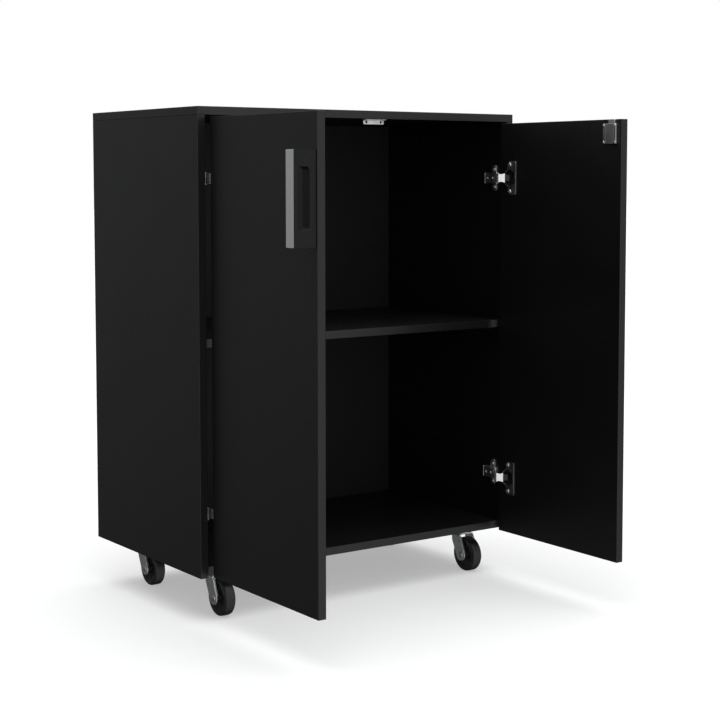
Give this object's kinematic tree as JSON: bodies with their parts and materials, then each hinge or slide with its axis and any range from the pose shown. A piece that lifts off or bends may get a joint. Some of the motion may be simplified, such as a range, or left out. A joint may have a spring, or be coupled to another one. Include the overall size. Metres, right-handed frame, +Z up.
{
  "type": "rolling pedestal cabinet",
  "caption": "Low black two-door storage cabinet on swivel casters, with one shelf, cup hinges, a slim pull handle and a bolt lock.",
  "frame": {"origin": "on the floor, under the middle of the carcass", "axes": "+X to the right seen from the front, +Y to the back, +Z up"},
  "size_m": [0.7296, 0.751, 0.914],
  "materials": {
    "black_laminate": "matt black melamine laminate on particleboard",
    "black_hardboard": "matt black painted hardboard",
    "black_plastic": "satin black moulded plastic",
    "satin_aluminium": "satin brushed",
    "zinc_fasteners": "bright zinc",
    "cast_zinc": "die-cast, unpolished",
    "nickel_steel": "nickel plated, satin",
    "lock_metal": "nickel plated, satin",
    "zinc_steel": "zinc plated pressing",
    "black_wheel": "satin black moulded tread"
  },
  "bodies": {
    "carcass": {"top_panel": "black_laminate", "left_side_panel": "black_laminate", "right_side_panel": "black_laminate", "bottom_panel": "black_laminate", "back_panel": "black_hardboard", "shelf": "black_laminate", "shelf_pins": "zinc_fasteners", "cam_locks": "cast_zinc", "cam_bolts": "zinc_fasteners", "hinge_plate_screws": "zinc_fasteners", "hinge_arm_screws": "zinc_fasteners", "strike_plate": "nickel_steel", "strike_screws": "zinc_fasteners", "caster_screws": "zinc_fasteners", "left_upper_hinge_plate": "nickel_steel", "left_upper_hinge_arm": "nickel_steel", "left_lower_hinge_plate": "nickel_steel", "left_lower_hinge_arm": "nickel_steel", "right_upper_hinge_plate": "nickel_steel", "right_upper_hinge_arm": "nickel_steel", "right_lower_hinge_plate": "nickel_steel", "right_lower_hinge_arm": "nickel_steel", "front_left_caster_plate": "zinc_steel", "front_right_caster_plate": "zinc_steel", "rear_left_caster_plate": "zinc_steel", "rear_right_caster_plate": "zinc_steel"},
    "left_door": {"left_door_panel": "black_laminate", "handle_body": "black_plastic", "handle_face": "satin_aluminium", "handle_screws": "zinc_fasteners", "left_upper_hinge_cup": "nickel_steel", "left_lower_hinge_cup": "nickel_steel", "left_cup_screws": "zinc_fasteners"},
    "right_door": {"right_door_panel": "black_laminate", "lock_case": "lock_metal", "lock_screws": "zinc_fasteners", "lock_barrel": "lock_metal", "right_upper_hinge_cup": "nickel_steel", "right_lower_hinge_cup": "nickel_steel", "right_cup_screws": "zinc_fasteners"},
    "left_links": {"left_upper_hinge_link": "nickel_steel", "left_lower_hinge_link": "nickel_steel"},
    "right_links": {"right_upper_hinge_link": "nickel_steel", "right_lower_hinge_link": "nickel_steel"},
    "lock_cylinder": {"lock_plug": "lock_metal"},
    "lock_slide": {"lock_bolt": "nickel_steel"},
    "front_left_swivel": {"front_left_caster_fork": "zinc_steel", "front_left_caster_axle": "zinc_steel"},
    "front_left_wheel": {"front_left_caster_wheel": "black_wheel"},
    "front_right_swivel": {"front_right_caster_fork": "zinc_steel", "front_right_caster_axle": "zinc_steel"},
    "front_right_wheel": {"front_right_caster_wheel": "black_wheel"},
    "rear_left_swivel": {"rear_left_caster_fork": "zinc_steel", "rear_left_caster_axle": "zinc_steel"},
    "rear_left_wheel": {"rear_left_caster_wheel": "black_wheel"},
    "rear_right_swivel": {"rear_right_caster_fork": "zinc_steel", "rear_right_caster_axle": "zinc_steel"},
    "rear_right_wheel": {"rear_right_caster_wheel": "black_wheel"}
  },
  "joints": [
    {"name": "left_door_swing", "type": "hinge", "parent": "carcass", "child": "left_door", "pos_m": [-0.338, -0.21, 0.4925], "axis": [0, 0, -1], "range_deg": [-90, 5]},
    {"name": "right_door_swing", "type": "hinge", "parent": "carcass", "child": "right_door", "pos_m": [0.338, -0.21, 0.4925], "axis": [0, 0, 1], "range_deg": [-90, 5]},
    {"name": "left_link_swing", "type": "hinge", "parent": "carcass", "child": "left_links", "pos_m": [-0.33, -0.186, 0.4925], "axis": [0, 0, -1], "range_deg": [-81, 4.5]},
    {"name": "right_link_swing", "type": "hinge", "parent": "carcass", "child": "right_links", "pos_m": [0.33, -0.186, 0.4925], "axis": [0, 0, 1], "range_deg": [-81, 4.5]},
    {"name": "lock_turn", "type": "hinge", "parent": "right_door", "child": "lock_cylinder", "pos_m": [0.3265, -0.519, 0.869], "axis": [1, 0, 0], "range_deg": [0, 90]},
    {"name": "lock_bolt_throw", "type": "slide", "parent": "right_door", "child": "lock_slide", "axis": [0, 0, 1], "range_m": [0, 0.008]},
    {"name": "front_left_caster_turn", "type": "hinge", "parent": "carcass", "child": "front_left_swivel", "pos_m": [-0.2796, -0.128, 0.077], "axis": [0, 0, 1], "continuous": true},
    {"name": "front_left_wheel_spin", "type": "hinge", "parent": "front_left_swivel", "child": "front_left_wheel", "pos_m": [-0.2796, -0.1484, 0.034], "axis": [1, 0, 0], "continuous": true},
    {"name": "front_right_caster_turn", "type": "hinge", "parent": "carcass", "child": "front_right_swivel", "pos_m": [0.2904, -0.128, 0.077], "axis": [0, 0, 1], "continuous": true},
    {"name": "front_right_wheel_spin", "type": "hinge", "parent": "front_right_swivel", "child": "front_right_wheel", "pos_m": [0.2904, -0.1484, 0.034], "axis": [1, 0, 0], "continuous": true},
    {"name": "rear_left_caster_turn", "type": "hinge", "parent": "carcass", "child": "rear_left_swivel", "pos_m": [-0.2796, 0.139, 0.077], "axis": [0, 0, 1], "continuous": true},
    {"name": "rear_left_wheel_spin", "type": "hinge", "parent": "rear_left_swivel", "child": "rear_left_wheel", "pos_m": [-0.2796, 0.1186, 0.034], "axis": [1, 0, 0], "continuous": true},
    {"name": "rear_right_caster_turn", "type": "hinge", "parent": "carcass", "child": "rear_right_swivel", "pos_m": [0.2904, 0.139, 0.077], "axis": [0, 0, 1], "continuous": true},
    {"name": "rear_right_wheel_spin", "type": "hinge", "parent": "rear_right_swivel", "child": "rear_right_wheel", "pos_m": [0.2904, 0.1186, 0.034], "axis": [1, 0, 0], "continuous": true}
  ],
  "couplings": [
    {"joint": "left_link_swing", "follows": "left_door_swing", "ratio": 0.9},
    {"joint": "right_link_swing", "follows": "right_door_swing", "ratio": 0.9},
    {"joint": "lock_bolt_throw", "follows": "lock_turn", "m_per_rad": 0.005093}
  ]
}
